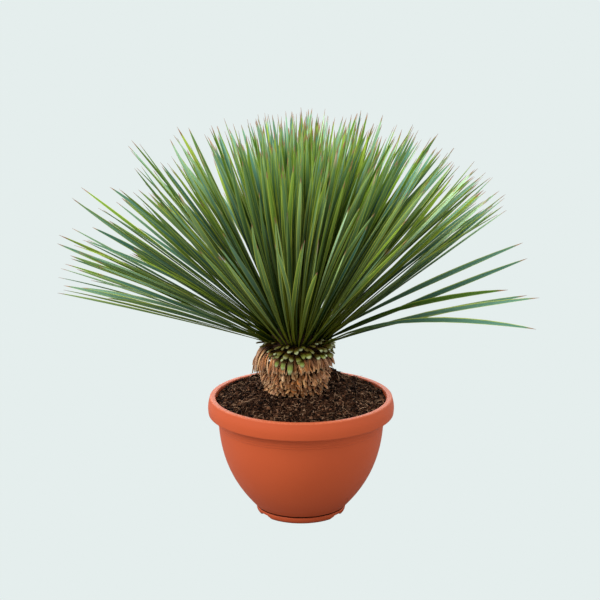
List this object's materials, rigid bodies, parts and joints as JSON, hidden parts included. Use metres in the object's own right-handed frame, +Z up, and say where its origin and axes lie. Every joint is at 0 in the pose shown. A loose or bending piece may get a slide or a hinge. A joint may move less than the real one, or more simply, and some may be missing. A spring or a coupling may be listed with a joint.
{
  "type": "potted yucca",
  "caption": "Yucca with a round crown of narrow stiff leaves on a short trunk clad in cut leaf bases, growing in soil in a wide round garden bowl with a rolled rim.",
  "frame": {"origin": "middle of the bowl's foot ring, on the ground", "axes": "+Z up along the bowl's axis, -Y towards the front, +X towards the side where low leaves stand apart from the crown"},
  "size_m": [1.0142, 0.936, 0.8701],
  "materials": {
    "terracotta_plastic": "satin moulded plastic, terracotta coloured",
    "soil": "loose dark peat and bark fibre, matte",
    "bark": "rough dark bark, matte",
    "dry_leaf_base": "dry fibrous leaf bases, tan to orange brown, matte",
    "green_leaf_base": "cut green leaf bases with pale ends, satin",
    "leaf": "stiff blue-green leaves with thin yellow margins and brown tips, satin"
  },
  "bodies": {
    "root": {"dry_leaf_bases_row_01": "dry_leaf_base", "dry_leaf_bases_row_02": "dry_leaf_base", "dry_leaf_bases_row_03": "dry_leaf_base", "dry_leaf_bases_row_04": "dry_leaf_base", "dry_leaf_bases_row_05": "dry_leaf_base", "dry_leaf_bases_row_06": "dry_leaf_base", "dry_leaf_bases_row_07": "dry_leaf_base", "dry_leaf_bases_row_08": "dry_leaf_base", "green_leaf_bases_row_01": "green_leaf_base", "green_leaf_bases_row_02": "green_leaf_base", "green_leaf_bases_row_03": "green_leaf_base", "heart_leaves_01": "leaf", "heart_leaves_02": "leaf", "inner_leaves_01": "leaf", "inner_leaves_02": "leaf", "inner_leaves_03": "leaf", "inner_leaves_04": "leaf", "lone_leaves_01": "leaf", "lone_leaves_02": "leaf", "lone_leaves_03": "leaf", "lower_leaves_01": "leaf", "lower_leaves_02": "leaf", "lower_leaves_03": "leaf", "lower_leaves_04": "leaf", "lower_leaves_05": "leaf", "lower_leaves_06": "leaf", "lower_leaves_07": "leaf", "lower_leaves_08": "leaf", "lower_leaves_09": "leaf", "lower_leaves_10": "leaf", "lower_leaves_11": "leaf", "lower_leaves_12": "leaf", "middle_leaves_01": "leaf", "middle_leaves_02": "leaf", "middle_leaves_03": "leaf", "middle_leaves_04": "leaf", "middle_leaves_05": "leaf", "middle_leaves_06": "leaf", "middle_leaves_07": "leaf", "middle_leaves_08": "leaf", "middle_leaves_09": "leaf", "middle_leaves_10": "leaf", "pot": "terracotta_plastic", "soil": "soil", "trunk": "bark", "upper_leaves_01": "leaf", "upper_leaves_02": "leaf", "upper_leaves_03": "leaf", "upper_leaves_04": "leaf", "upper_leaves_05": "leaf", "upper_leaves_06": "leaf", "upper_leaves_07": "leaf", "upper_leaves_08": "leaf"}
  },
  "joints": []
}
